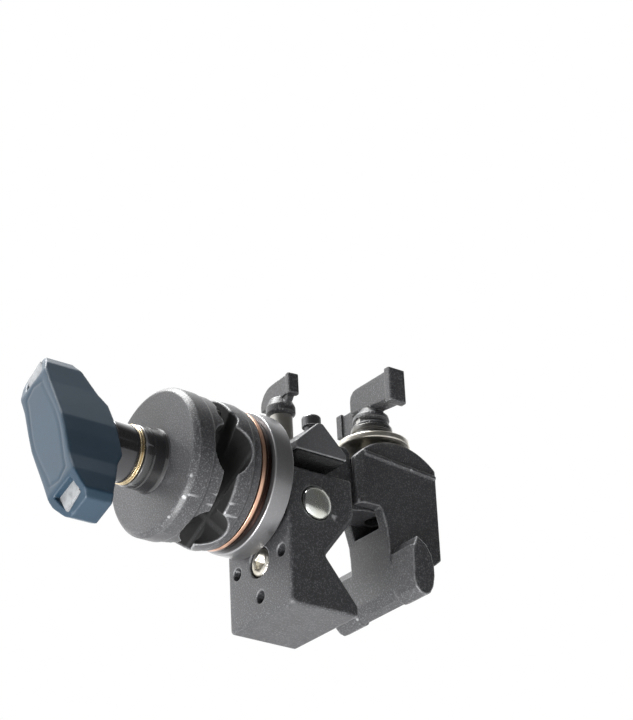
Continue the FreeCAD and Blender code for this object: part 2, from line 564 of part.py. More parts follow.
def make_grip_head():
    """Hex stud, base disc, friction ring, two grooved jaw discs, spring and guide pins."""
    lift = d.grip_height
    block_left = -d.jaw_reach
    hub = 11.0
    base = new_body("base_disc", 0, 0, lift)
    rad = d.base_rad
    turn(base, polygon((d.base_left, 6.0), (d.base_left, rad - 0.5), (d.base_left + 0.5, rad),
                       (d.base_right - 0.8, rad), (d.base_right, rad - 0.8), (d.base_right, hub),
                       (block_left - 0.1, hub), (block_left - 0.1, 6.0)), "X")

    stud = new_body("hex_stud", 0, 0, lift)
    pad(stud, "X", hexagon(d.stud_flats), block_left, block_left + d.stud_len)
    soften(stud, 1.0, lambda a, b: near(a.x, b.x) and a.x > -20, "PartDesign::Chamfer")
    pad(stud, "X", circle(6.0), d.base_left + 1, block_left + 1)
    turn(stud, polygon((d.lock_pos - d.neck_half, d.neck_rad), (d.lock_pos + d.neck_half, d.neck_rad),
                       (d.lock_pos + d.neck_half, 12), (d.lock_pos - d.neck_half, 12)), "X", cut=True)
    pocket(stud, "X", circle(d.main_rad + d.thread_gap), d.base_left + 1, d.screw_end + 5.0)

    ring = new_body("friction_ring", 0, 0, lift)
    rim = d.ring_rad
    turn(ring, polygon((d.ring_left, 9.0), (d.ring_left, rim - 0.3), (d.ring_left + 0.3, rim),
                       (d.ring_left + 2.6, rim), (d.ring_left + 3.4, rim - 1.0), (d.base_left - 0.4, rim - 1.4),
                       (d.base_left - 0.4, 9.0)), "X")

    screw_hole = d.main_rad + 0.5
    well = 7.4
    rad = d.inner_rad
    jaw_disc("inner_jaw", polygon(
        (d.inner_left, well), (d.inner_left, rad - 0.6), (d.inner_left + 0.6, rad), (d.inner_step, rad),
        (d.inner_step + 0.4, rad - 0.9), (d.inner_right - 0.6, rad - 0.9), (d.inner_right, rad - 1.5),
        (d.inner_right, screw_hole), (d.inner_left + 5, screw_hole), (d.inner_left + 5, well)),
        pin_spots(), 2.5, d.inner_left, d.inner_right - 4)
    rad = d.outer_rad
    jaw_disc("outer_jaw", polygon(
        (d.outer_left, screw_hole), (d.outer_left, rad - 2.2), (d.outer_left + 0.7, rad - 1.2),
        (d.outer_left + 2.4, rad), (d.outer_step, rad), (d.outer_step + 0.4, rad - 0.6),
        (d.outer_right - 0.6, rad - 0.6), (d.outer_right, rad - 1.2), (d.outer_right, well),
        (d.outer_right - 9.4, well), (d.outer_right - 9.4, screw_hole)),
        pin_spots(), 2.56, d.outer_left + 3, d.outer_right)

    pins = doc.addObject("Part::Feature", "guide_pins")
    pins.Label = "guide_pins"
    low, high = DIMENSIONS["outer_right"] - 6.5, DIMENSIONS["inner_right"] - 4
    pins.Shape = Part.makeCompound([Part.makeCylinder(2.5, high - low, Vector(low, across, up), Vector(1, 0, 0))
                                    for across, up in pin_spots()])
    place_node(pins, 0, 0, lift)
    spring("jaw_spring", 6.2, 1.1, 15.2, 5, "X", d.outer_right - 4.2, 0, lift)

    boss = new_body("jaw_boss", 0, 0, lift)
    rad = d.boss_rad
    turn(boss, polygon((d.boss_left, screw_hole), (d.boss_left, rad - 1.2), (d.boss_left + 0.8, rad - 0.2),
                       (d.boss_left + 4.0, rad - 0.2), (d.boss_left + 4.4, rad), (d.outer_left - 1.4, rad),
                       (d.outer_left, rad + 1.0), (d.outer_left, screw_hole)), "X")


def knob_outline():
    """Front outline of the T-knob along its own wing axis: straight ends and a drawn-in waist."""
    long, end, waist = d.knob_half, d.knob_end, d.knob_waist
    side = [(-waist, 0), (-waist + 0.6, 8.0), (-end - 0.6, 20.0), (-end, 32.0), (-end + 2.4, long - 2.4),
            (-end + 5.0, long), (end - 3.0, long), (end - 0.4, long - 3.0), (end + 0.4, 28.0),
            (end + 0.2, 20.0), (waist - 0.6, 8.0), (waist, 0)]
    return side + [(-across, -up) for across, up in side[1:-1]]


def make_knob():
    """Two-wing knob, sleeve, rings, inserts and the main screw."""
    lift = d.grip_height
    tilt = 21.0
    front, tip = d.knob_front, d.knob_back_tip
    knob = new_body("grip_knob", 0, 0, lift)
    knob.Placement.Rotation = FreeCAD.Rotation(Vector(1, 0, 0), -tilt)
    pad(knob, "X", polygon(*knob_outline()), front, d.sleeve_left)
    long = d.knob_half + 4
    for side in (-1, 1):
        pocket(knob, "Y", polygon((tip, side * long), (tip, side * 36.0), (d.sleeve_left - 3.0, side * 19.0),
                                  (d.sleeve_left, side * 14.0), (d.sleeve_left + 2, side * 14.0),
                                  (d.sleeve_left + 2, side * long)), -20, 20)
        pocket(knob, "Y", polygon((front - 2, side * long), (front - 2, side * 27.0), (front, side * 27.5),
                                  (front + 2.4, side * 34.0), (front + 7.4, side * long)), -20, 20)
    soften(knob, 1.2, lambda a, b: near(a.x, front.number) and near(b.x, front.number)
           and not near(a.z, b.z))
    for side in (-1, 1):
        pocket(knob, "X", polygon((side * -6.4, side * 29.2), (side * 6.0, side * 29.2), (side * 6.6, side * 36.6),
                                  (side * -4.4, side * 38.0)), front - 1, front + 4.6)
    pocket(knob, "X", circle(d.main_rad), front + 14, d.sleeve_left)

    inserts = doc.addObject("Part::Feature", "knob_inserts")
    inserts.Label = "knob_inserts"
    plates = []
    for side in (-1, 1):
        corners = [Vector(DIMENSIONS["knob_front"] + 3.4, across * side, up * side)
                   for across, up in ((-6.3, 29.3), (5.9, 29.3), (6.5, 36.5), (-4.4, 37.9))]
        outline = Part.makePolygon(corners + [corners[0]])
        plates.append(Part.Face(outline).extrude(Vector(1.2, 0, 0)))
    inserts.Shape = Part.makeCompound(plates)
    place_node(inserts, 0, 0, lift)
    inserts.Placement.Rotation = FreeCAD.Rotation(Vector(1, 0, 0), -tilt)

    sleeve = new_body("knob_sleeve", 0, 0, lift)
    rad = d.sleeve_rad
    turn(sleeve, polygon((d.sleeve_left, d.main_rad), (d.sleeve_left, rad), (d.rings_left - 0.5, rad),
                         (d.rings_left, rad - 0.5), (d.rings_left, d.main_rad)), "X")
    rings = new_body("sleeve_rings", 0, 0, lift)
    inner = d.main_rad
    turn(rings, polygon((d.rings_left, inner), (d.rings_left, rad - 0.2), (d.rings_left + 0.3, rad + 0.4),
                        (d.rings_left + 0.9, rad + 0.4), (d.rings_left + 1.2, rad - 0.3),
                        (d.rings_left + 1.4, rad + 0.4), (d.rings_left + 2.0, rad + 0.4),
                        (d.boss_left - 0.3, rad), (d.boss_left - 0.3, inner)), "X")
    screw = new_body("main_screw", 0, 0, lift)
    turn(screw, polygon((front + 14, 0), (front + 14, inner), (d.screw_end - 1, inner),
                         (d.screw_end, inner - 1), (d.screw_end, 0)), "X")


def make_socket_screw():
    """Knurled cap screw in the fixed jaw's counterbore."""
    screw = new_body("jaw_cap_screw", -d.jaw_reach, 0, 0)
    turn(screw, polygon((0.4, 0), (0.4, 5.6), (0.9, 6.2), (6.8, 6.2), (6.8, 3.0), (14.6, 3.0), (15.4, 2.2),
                        (15.4, 0)), "X")
    pocket(screw, "X", hexagon(6.0), 0.4, 4.6)
    for step in range(16):
        angle = 2 * math.pi * step / 16
        pocket(screw, "X", circle(0.42, 6.3 * math.cos(angle), 6.3 * math.sin(angle)), 0.4, 6.8)


make_clamp_body()
make_moving_jaw()
make_pivot()
make_clamp_screw()
make_lock()
make_button()
make_wedge()
make_grip_head()
make_knob()
make_socket_screw()
doc.recompute()

for item in doc.Objects:
    if "Invalid" in item.State or "Error" in item.State:
        raise RuntimeError(f"{item.Name}: {item.State}")
for node in NODES:
    if node.Shape.isNull() or not node.Shape.isValid() or not node.Shape.Solids:
        raise RuntimeError(f"{node.Label}: bad shape")
    node.Shape.exportStep(f"parts/{node.Label}.step")
    print(node.Label, len(node.Shape.Solids), round(node.Shape.Volume, 1))
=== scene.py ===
import json
import math
import bpy
import bmesh
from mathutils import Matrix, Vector


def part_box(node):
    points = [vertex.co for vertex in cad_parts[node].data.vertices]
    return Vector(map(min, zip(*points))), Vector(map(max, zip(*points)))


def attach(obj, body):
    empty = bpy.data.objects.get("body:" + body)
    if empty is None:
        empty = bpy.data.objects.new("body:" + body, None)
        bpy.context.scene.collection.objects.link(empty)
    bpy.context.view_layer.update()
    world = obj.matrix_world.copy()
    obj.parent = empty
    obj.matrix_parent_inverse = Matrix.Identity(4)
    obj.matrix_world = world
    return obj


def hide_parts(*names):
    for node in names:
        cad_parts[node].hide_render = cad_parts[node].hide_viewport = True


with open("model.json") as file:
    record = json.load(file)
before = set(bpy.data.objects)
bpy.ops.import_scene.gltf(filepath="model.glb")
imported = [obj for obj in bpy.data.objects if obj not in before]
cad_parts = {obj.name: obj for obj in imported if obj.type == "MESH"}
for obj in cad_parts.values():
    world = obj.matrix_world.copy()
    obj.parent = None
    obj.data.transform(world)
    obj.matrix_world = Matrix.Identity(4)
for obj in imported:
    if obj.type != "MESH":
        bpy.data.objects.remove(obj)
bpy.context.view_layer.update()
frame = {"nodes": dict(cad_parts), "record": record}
mm = 0.001
print("frame loaded,", len(frame["nodes"]), "nodes")


class Wire:
    # a value socket that can stand in a sum
    def __init__(self, paint, socket):
        self.paint = paint
        self.socket = socket

    def sum(self, kind, first, second):
        return self.paint.node("ShaderNodeMath", {"operation": kind}, {0: first, 1: second})

    def __add__(self, other):
        return self.sum("ADD", self, other)

    __radd__ = __add__

    def __sub__(self, other):
        return self.sum("SUBTRACT", self, other)

    def __rsub__(self, other):
        return self.sum("SUBTRACT", other, self)

    def __mul__(self, other):
        return self.sum("MULTIPLY", self, other)

    __rmul__ = __mul__

    def __pow__(self, other):
        return self.sum("POWER", self, other)


class Paint:
    # one material with its Principled shader
    def __init__(self, name, **fixed):
        self.material = bpy.data.materials.new(name)
        self.material.use_nodes = True
        self.tree = self.material.node_tree
        self.shader = self.tree.nodes["Principled BSDF"]
        for socket, value in fixed.items():
            self.shader.inputs[socket.replace("_", " ")].default_value = value
        self.place = self.node("ShaderNodeTexCoord", {}, {}, "Object")

    def node(self, kind, settings, inputs, out=0):
        made = self.tree.nodes.new(kind)
        for key, value in settings.items():
            if key == "stops":
                while len(made.color_ramp.elements) < len(value):
                    made.color_ramp.elements.new(0.5)
                for stop, (place, tone) in zip(made.color_ramp.elements, value):
                    stop.position = place
                    stop.color = (tone, tone, tone, 1)
            else:
                setattr(made, key, value)
        for key, value in inputs.items():
            self.put(made.inputs[key], value)
        return Wire(self, made.outputs[out])

    def put(self, socket, value):
        if isinstance(value, Wire):
            self.tree.links.new(value.socket, socket)
        else:
            socket.default_value = value

    def noise(self, scale, detail=2.0, rough=0.5, stretch=None):
        place = self.place
        if stretch:
            place = self.node("ShaderNodeMapping", {}, {"Vector": place, "Scale": stretch})
        return self.node("ShaderNodeTexNoise", {}, {"Vector": place, "Scale": scale, "Detail": detail,
                                                    "Roughness": rough})

    def ramp(self, value, *stops):
        return self.node("ShaderNodeValToRGB", {"stops": stops}, {0: value})

    def edges(self, low=0.51, high=0.58):
        bend = self.node("ShaderNodeNewGeometry", {}, {}, "Pointiness")
        return self.ramp(bend, (low, 0.0), (high, 1.0))

    def blend(self, share, first, second):
        inputs = {0: share, 6: (*first, 1) if isinstance(first, tuple) else first,
                  7: (*second, 1) if isinstance(second, tuple) else second}
        return self.node("ShaderNodeMix", {"data_type": "RGBA"}, inputs, 2)

    def where(self, axis):
        # distance from the frame's origin along one axis, in metres
        return self.node("ShaderNodeSeparateXYZ", {}, {0: self.place}, axis)

    def fade(self, value, start, end):
        return self.node("ShaderNodeMapRange", {}, {0: value, 1: start, 2: end, 3: 0.0, 4: 1.0})

    def relief(self, height, strength, depth):
        return self.node("ShaderNodeBump", {}, {"Height": height, "Strength": strength, "Distance": depth})

    def finish(self, color, rough, normal=None):
        self.put(self.shader.inputs["Base Color"], color)
        self.put(self.shader.inputs["Roughness"], rough)
        if normal:
            self.put(self.shader.inputs["Normal"], normal)
        return self.material


castFinish = {"dark": (0.034, 0.034, 0.037), "speck": (0.15, 0.152, 0.16), "wornAndLitEdge": (0.42, 0.425, 0.435),
              "grain": 1700.0, "cloud": 120.0, "relief": 0.00018}
# where the painted shade lies in the rod grooves, in metres
grooveShade = {"midX": -0.0762, "half": 0.0098, "fade": 0.0004, "lift": 0.033, "rim": 0.0308,
               "deep": 0.0300}


def grooveShadeMask(paint):
    # painted shade: one inside the rod grooves between the two jaw discs, where the discs are coloured near
    # black
    side, up = paint.where(1), paint.where(2) - grooveShade["lift"]
    radius = (side * side + up * up) ** 0.5
    offset = paint.where(0) - grooveShade["midX"]
    reach = paint.node("ShaderNodeMath", {"operation": "ABSOLUTE"}, {0: offset})
    return (paint.fade(radius, grooveShade["rim"], grooveShade["deep"])
            * paint.fade(reach, grooveShade["half"], grooveShade["half"] - grooveShade["fade"]))


def castCoat(name, dark=castFinish["dark"], edgeWearAndHighlight=0.75, shadeGrooves=False):
    paint = Paint(name, Specular_IOR_Level=0.62)
    speck = paint.ramp(paint.noise(castFinish["grain"], 1.5, 0.6), (0.52, 0.0), (0.68, 1.0))
    cloud = paint.noise(castFinish["cloud"], 3.0, 0.55)
    scuff = paint.ramp(paint.noise(420.0, 4.0, 0.65), (0.35, 0.35), (0.6, 1.0))
    # edges lighter where scuffed: partly real wear through the coat, partly a painted highlight along the
    # rounded edges
    edge = paint.edges() * scuff * edgeWearAndHighlight
    coat = paint.blend(speck * 0.75, dark, castFinish["speck"])
    color = paint.blend(edge, coat, castFinish["wornAndLitEdge"])
    rough = 0.36 + cloud * 0.14 + speck * 0.1 - edge * 0.08
    if shadeGrooves:
        grooveShadow = grooveShadeMask(paint)
        # painted shade: the rod grooves coloured near black, as if in their own shadow
        color = paint.blend(grooveShadow, color, (0.002, 0.002, 0.002))
        rough = rough + grooveShadow * 0.6
    grain = paint.noise(castFinish["grain"] * 0.55, 3.0, 0.6)
    normal = paint.relief(grain, 0.55, castFinish["relief"])
    return paint.finish(color, rough, normal)


def turnedBlack(name, rough=0.27):
    paint = Paint(name, Metallic=0.85)
    lines = paint.noise(260.0, 3.0, 0.7, (14.0, 1.0, 1.0))
    speck = paint.ramp(paint.noise(1500.0, 2.0), (0.5, 0.0), (0.72, 1.0))
    edge = paint.edges(0.505, 0.56)
    coat = paint.blend(speck * 0.5, (0.105, 0.105, 0.11), (0.20, 0.20, 0.21))
    # edges painted light grey all round: a painted highlight along the turned edges
    color = paint.blend(edge * 0.8, coat, (0.60, 0.60, 0.61))
    normal = paint.relief(lines, 0.2, 0.00008)
    return paint.finish(color, rough + lines * 0.12, normal)


def bareSteel(name, tone, rough, mottle=0.25, stretch=None):
    paint = Paint(name, Metallic=1.0)
    cloud = paint.ramp(paint.noise(150.0, 4.0, 0.6), (0.35, 0.0), (0.68, 1.0))
    fine = paint.noise(900.0, 3.0, 0.6, stretch)
    shade = tuple(value * (1 - mottle) for value in tone)
    warm = (shade[0], shade[1] * 0.96, shade[2] * 0.86)
    color = paint.blend(cloud, tone, warm)
    normal = paint.relief(fine, 0.18, 0.00005)
    return paint.finish(color, rough + fine * 0.14 + cloud * 0.08, normal)


# bright and smeared are the copper's own colours; edge is a painted shade over the rim beyond the fade along
# X
copperLook = {"shadeStartX": -0.0593, "shadeFullX": -0.0588, "bright": (0.80, 0.50, 0.36),
              "smeared": (0.36, 0.17, 0.11), "edge": (0.045, 0.022, 0.016)}


def coppered(name):
    paint = Paint(name, Metallic=1.0)
    smear = paint.ramp(paint.noise(90.0, 4.0, 0.6), (0.4, 0.0), (0.62, 1.0))
    lines = paint.noise(300.0, 3.0, 0.7, (12.0, 1.0, 1.0))
    bright = paint.blend(smear * 0.5, copperLook["bright"], copperLook["smeared"])
    # painted shade: past this fade along X the ring's rim is coloured dark
    fade = paint.fade(paint.where(0), copperLook["shadeStartX"], copperLook["shadeFullX"])
    color = paint.blend(fade, bright, copperLook["edge"])
    return paint.finish(color, 0.26 + lines * 0.14, paint.relief(lines, 0.2, 0.00006))


def glossBlack(name, tone, rough, metal):
    paint = Paint(name, Metallic=metal, Coat_Weight=0.6, Coat_Roughness=0.06)
    haze = paint.noise(240.0, 4.0, 0.6)
    edge = paint.edges(0.51, 0.57)
    # edges painted lighter: a painted highlight along the edges
    color = paint.blend(edge * 0.5, tone, (0.2, 0.2, 0.21))
    fine = paint.noise(1100.0, 2.0)
    return paint.finish(color, rough + haze * 0.1, paint.relief(fine, 0.06, 0.00003))


def dottedRubber(name):
    paint = Paint(name, Specular_IOR_Level=0.35)
    dust = paint.ramp(paint.noise(700.0, 4.0, 0.6), (0.45, 0.0), (0.75, 1.0))
    color = paint.blend(dust * 0.4, (0.010, 0.010, 0.011), (0.05, 0.05, 0.052))
    grain = paint.noise(1600.0, 3.0)
    return paint.finish(color, 0.55 + grain * 0.2, paint.relief(grain, 0.3, 0.0001))


def mouldedBlue(name, deep=(0.010, 0.030, 0.052), pale=(0.019, 0.045, 0.074)):
    paint = Paint(name, Specular_IOR_Level=0.5)
    cloud = paint.noise(60.0, 3.0, 0.5)
    fine = paint.noise(2100.0, 3.0, 0.6)
    scuff = paint.ramp(paint.noise(300.0, 5.0, 0.7), (0.55, 0.0), (0.75, 1.0))
    edge = paint.edges(0.505, 0.56)
    coat = paint.blend(cloud, deep, pale)
    # lighter at scuffs and scuffed edges: wear, with a painted highlight along the edges
    color = paint.blend(edge * scuff * 0.6 + scuff * 0.08, coat, (0.11, 0.15, 0.20))
    # painted shade: concave places, such as the panel groove, coloured near black
    bend = paint.node("ShaderNodeNewGeometry", {}, {}, "Pointiness")
    color = paint.blend(paint.ramp(bend, (0.44, 1.0), (0.492, 0.0)), color, (0.004, 0.010, 0.016))
    normal = paint.relief(fine, 0.4, 0.00007)
    return paint.finish(color, 0.37 + cloud * 0.12 + scuff * 0.1, normal)


def insertGrey(name):
    paint = Paint(name)
    fine = paint.noise(1400.0, 3.0)
    marks = paint.ramp(paint.noise(260.0, 5.0, 0.7), (0.45, 0.0), (0.7, 1.0))
    color = paint.blend(marks, (0.30, 0.31, 0.32), (0.16, 0.165, 0.17))
    return paint.finish(color, 0.42 + fine * 0.2, paint.relief(fine, 0.3, 0.0001))


# by slot, or by node where a piece has a finish of its own
paints = {
    "cast_black": castCoat("castBlack"),
    "machined_black": turnedBlack("turnedBlack"),
    "gloss_black": glossBlack("glossBlack", (0.012, 0.012, 0.013), 0.16, 0.0),
    "zinc_steel": bareSteel("zincSteel", (0.70, 0.68, 0.63), 0.24, 0.35),
    "plain_steel": bareSteel("plainSteel", (0.50, 0.50, 0.50), 0.28, 0.2, (8.0, 1.0, 1.0)),
    "spring_steel": bareSteel("springSteel", (0.46, 0.46, 0.47), 0.22, 0.15),
    "polished_steel": bareSteel("polishedSteel", (0.80, 0.83, 0.80), 0.13, 0.08),
    "copper": coppered("copperRing"),
    "gold_rings": bareSteel("goldRings", (0.72, 0.60, 0.40), 0.16, 0.2),
    "dark_chrome": glossBlack("darkChrome", (0.045, 0.045, 0.048), 0.07, 0.85),
    "pad_rubber": dottedRubber("padRubber"),
    "knob_blue": mouldedBlue("knobBlue"),
    "insert_grey": insertGrey("insertGrey"),
    "tip_brass": bareSteel("tipBrass", (0.60, 0.48, 0.28), 0.25, 0.2),
    "wedge_block": castCoat("wedgeGrey", (0.085, 0.086, 0.09), 0.9),
    "inner_jaw": castCoat("innerDisc", shadeGrooves=True),
    "outer_jaw": castCoat("outerDisc", shadeGrooves=True),
    "handle_collar": bareSteel("collarSteel", (0.20, 0.20, 0.20), 0.2, 0.3),
}
slotOf = {part["node"]: part["material_slot"] for part in frame["record"]["subparts"]}
bodyOf = {node: body for body, nodes in frame["record"]["behaviour"]["bodies"].items() for node in nodes}
replaced = set()
print("materials made,", len(paints))


def dress(piece, node):
    # gives a new piece its node's body and finish, and hides the node it stands in for
    piece.data.materials.clear()
    piece.data.materials.append(paints.get(node, paints[slotOf[node]]))
    for face in piece.data.polygons:
        face.use_smooth = True
    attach(piece, bodyOf[node])
    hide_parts(node)
    replaced.add(node)
    return piece


def newPiece(name, mesh):
    piece = bpy.data.objects.new(name, mesh)
    bpy.context.scene.collection.objects.link(piece)
    return piece


def settle(piece):
    # applies the piece's modifiers to its mesh
    graph = bpy.context.evaluated_depsgraph_get()
    mesh = bpy.data.meshes.new_from_object(piece.evaluated_get(graph))
    piece.modifiers.clear()
    piece.data = mesh
    return mesh


def castPiece(name, node, voxel=0.42, rounds=4, keep=0.35, carve=None):
    # a casting: the node's solid with every edge softened as a mould leaves it
    mesh = frame["nodes"][node].data.copy()
    work = bmesh.new()
    work.from_mesh(mesh)
    bmesh.ops.remove_doubles(work, verts=work.verts, dist=0.00001)
    work.to_mesh(mesh)
    work.free()
    piece = newPiece(name, mesh)
    grid = piece.modifiers.new("grid", "REMESH")
    grid.mode = "VOXEL"
    grid.voxel_size = voxel * mm
    mesh = settle(piece)
    if carve:
        for vertex in mesh.vertices:
            shift = carve(vertex.co / mm, vertex.normal)
            if shift:
                vertex.co += vertex.normal * (shift * mm)
    soft = piece.modifiers.new("soft", "SMOOTH")
    soft.factor = 0.5
    soft.iterations = rounds
    thin = piece.modifiers.new("thin", "DECIMATE")
    thin.ratio = keep
    settle(piece)
    dress(piece, node)
    piece.modifiers.new("flats", "WEIGHTED_NORMAL").keep_sharp = False
    return piece


def skin(name, loops, closed=True):
    # a surface through loops of points in millimetres, with its two ends filled
    count = len(loops[0])
    points = [tuple(value * mm for value in point) for loop in loops for point in loop]
    faces = []
    for row in range(len(loops) - 1):
        for step in range(count):
            after = (step + 1) % count
            faces.append((row * count + step, row * count + after,
                          (row + 1) * count + after, (row + 1) * count + step))
    if closed:
        faces.append(tuple(reversed(range(count))))
        faces.append(tuple((len(loops) - 1) * count + step for step in range(count)))
    else:
        last = (len(loops) - 1) * count
        for step in range(count):
            after = (step + 1) % count
            faces.append((last + step, last + after, after, step))
    mesh = bpy.data.meshes.new(name)
    mesh.from_pydata(points, [], faces)
    work = bmesh.new()
    work.from_mesh(mesh)
    bmesh.ops.recalc_face_normals(work, faces=work.faces)
    work.to_mesh(mesh)
    work.free()
    return newPiece(name, mesh)


def onAxis(axis, centre, along, radius, angle):
    # a point at a distance from an axis that runs along X, Y or Z
    side, up = radius * math.cos(angle), radius * math.sin(angle)
    return {"X": (along, centre[1] + side, centre[2] + up),
            "Y": (centre[0] + side, along, centre[2] + up),
            "Z": (centre[0] + side, centre[1] + up, along)}[axis]


def roundedProfile(corners, bend):
    # the outline with a small arc at each corner
    outline = []
    count = len(corners)
    for index, corner in enumerate(corners):
        here = Vector(corner)
        before = Vector(corners[index - 1]) - here
        after = Vector(corners[(index + 1) % count]) - here
        reach = min(bend, before.length * 0.4, after.length * 0.4)
        start, end = here + before.normalized() * reach, here + after.normalized() * reach
        for share in (0.0, 0.33, 0.67, 1.0):
            first, second = start.lerp(here, share), here.lerp(end, share)
            outline.append(first.lerp(second, share))
    return outline


def centreOf(node):
    low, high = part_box(node)
    return [(a + b) / 2 / mm for a, b in zip(low, high)]


def turned(name, node, axis, corners, bend=0.35, segments=128):
    # a turned ring: its outline, in distance along the axis and radius, swept once round
    centre = centreOf(node)
    outline = roundedProfile(corners, bend)
    loops = [[onAxis(axis, centre, along, radius, 2 * math.pi * step / segments) for step in range(segments)]
             for along, radius in outline]
    return dress(skin(name, loops, closed=False), node)


def endsOf(node, axis):
    low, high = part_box(node)
    index = "XYZ".index(axis)
    return low[index] / mm, high[index] / mm


def threaded(name, node, axis, radius, pitch, plain, segments=40):
    # a screw with a real helical thread, plain between the given places
    centre = centreOf(node)
    low, high = endsOf(node, axis)
    depth = pitch * 0.54
    steps = int((high - low) / (pitch / 7))
    loops = []
    for row in range(steps + 1):
        along = low + (high - low) * row / steps
        loop = []
        for step in range(segments):
            turn = step / segments
            phase = (along / pitch - turn) % 1.0
            crest = max(0.0, 1.0 - abs(phase - 0.5) / 0.42)
            reach = radius - depth * (1 - min(1.0, crest * 1.25))
            for start, end, size in plain:
                if start <= along <= end:
                    reach = size
            taper = min(along - low, high - along)
            reach = min(reach, radius - depth + taper)
            loop.append(onAxis(axis, centre, along, max(reach, 0.5), 2 * math.pi * turn))
        loops.append(loop)
    return dress(skin(name, loops), node)


def coil(name, node, axis, mean, wire, turns, sides=10):
    # a compression spring with closed ends
    centre = centreOf(node)
    low, high = endsOf(node, axis)
    low, high = low + wire / 2, high - wire / 2
    steps = int(turns * 36)
    loops = []
    for row in range(steps + 1):
        share = row / steps
        dead = 0.6 / turns
        eased = min(max((share - dead) / (1 - 2 * dead), 0.0), 1.0)
        along = low + (high - low) * eased
        angle = 2 * math.pi * turns * share
        loop = []
        for side in range(sides):
            swing = 2 * math.pi * side / sides
            loop.append(onAxis(axis, centre, along + wire / 2 * math.sin(swing),
                               mean + wire / 2 * math.cos(swing), angle))
        loops.append(loop)
    return dress(skin(name, loops), node)


# fixed jaw, moving jaw and the two small handles
jawLook = {"seamX": 31.8, "seamHalf": 0.4, "seamRise": 0.22, "seamLow": 30.0, "cheek": 13.0}


def jawSeam(point, normal):
    # the mould's parting line up the side of the jaw's head
    if abs(normal.y) < 0.7 or abs(point.y) < jawLook["cheek"] or point.z < jawLook["seamLow"]:
        return 0
    return jawLook["seamRise"] * max(0.0, 1 - abs(point.x - jawLook["seamX"]) / jawLook["seamHalf"])


castPiece("clampBody", "clamp_body")
castPiece("movingJaw", "moving_jaw", carve=jawSeam)
castPiece("tHandle", "t_handle", voxel=0.3, rounds=3, keep=0.5)
castPiece("lockKnob", "lock_knob", voxel=0.28, rounds=3, keep=0.5)
castPiece("wedgeBlock", "wedge_block", voxel=0.32, rounds=3, keep=0.4)
castPiece("wedgePegs", "wedge_pegs", voxel=0.25, rounds=2, keep=0.4)
castPiece("innerJaw", "inner_jaw", voxel=0.4, rounds=2)
castPiece("outerJaw", "outer_jaw", voxel=0.4, rounds=2)
print("castings made")

# grip knob
knobLook = {"tilt": 21.0, "height": 33.0, "panelHalf": 26.0, "panelWide": 7.6, "swell": 1.6,
            "taper": 0.35, "groove": 0.6, "cut": 0.75}


def knobPanel(point, normal):
    # the raised panel's outline, cut into the front of the knob as a fine groove
    if normal.x > -0.75:
        return 0
    lean = math.radians(knobLook["tilt"])
    side, up = point.y, point.z - knobLook["height"]
    across = side * math.cos(lean) - up * math.sin(lean)
    along = side * math.sin(lean) + up * math.cos(lean)
    wide = knobLook["panelWide"] + knobLook["swell"] * math.cos(along / knobLook["panelHalf"] * math.pi)
    reach = max(abs(across) - wide, abs(along) - knobLook["panelHalf"] + abs(across) * knobLook["taper"])
    return -knobLook["cut"] * max(0.0, 1 - abs(reach) / knobLook["groove"])


castPiece("gripKnob", "grip_knob", voxel=0.4, rounds=14, keep=0.3, carve=knobPanel)
print("knob made")

# turned pieces of the grip head and the clamping screw
discs = {"base": 30.8, "baseHub": 11.0, "ring": 29.9, "boss": 13.2, "sleeve": 12.3, "washer": 16.3,
         "bore": 5.35, "collar": 9.2}
left, right = endsOf("base_disc", "X")
rim = right - 3.0
turned("baseDisc", "base_disc", "X", [
    (left, 6.1), (left, discs["base"] - 0.1), (rim, discs["base"]), (rim, discs["baseHub"]),
    (right, discs["baseHub"] - 0.2), (right, 6.1)], 0.7)
left, right = endsOf("friction_ring", "X")
turned("frictionRing", "friction_ring", "X", [
    (left, 9.1), (left, discs["ring"]), (left + 2.6, discs["ring"]), (left + 3.4, discs["ring"] - 1.0),
    (right, discs["ring"] - 1.5), (right, 9.1)], 0.3)
left, right = endsOf("jaw_boss", "X")
turned("jawBoss", "jaw_boss", "X", [
    (left, discs["bore"]), (left, discs["boss"] - 0.2), (left + 4.0, discs["boss"] - 0.2),
    (left + 4.4, discs["boss"]), (right - 1.6, discs["boss"]), (right, discs["boss"] + 0.9),
    (right, discs["bore"])], 0.7)
left, right = endsOf("sleeve_rings", "X")
turned("sleeveRings", "sleeve_rings", "X", [
    (left, 4.8), (left, 12.0), (left + 0.3, 12.6), (left + 0.8, 12.6), (left + 1.15, 11.9),
    (left + 1.5, 12.6), (left + 2.0, 12.6), (right, 12.1), (right, 4.8)], 0.15)
left, right = endsOf("knob_sleeve", "X")
turned("knobSleeve", "knob_sleeve", "X", [
    (left, 4.8), (left, discs["sleeve"]), (right, discs["sleeve"]), (right, 4.8)], 0.5)
low, high = endsOf("thrust_washer", "Z")
turned("thrustWasher", "thrust_washer", "Z", [
    (low, 5.06), (low, discs["washer"]), (high, discs["washer"]), (high, 5.06)], 0.7)
low, high = endsOf("handle_collar", "Z")
ringed = discs["collar"]
turned("handleCollar", "handle_collar", "Z", [
    (low, 5.02), (low, ringed + 1.5), (low + 0.9, ringed + 1.8), (low + 1.8, ringed + 1.3),
    (low + 2.4, ringed), (low + 3.5, ringed), (low + 3.9, ringed - 0.7), (low + 4.9, ringed - 0.7),
    (low + 5.3, ringed), (high, ringed), (high, 5.02)], 0.3)
print("turned pieces made")

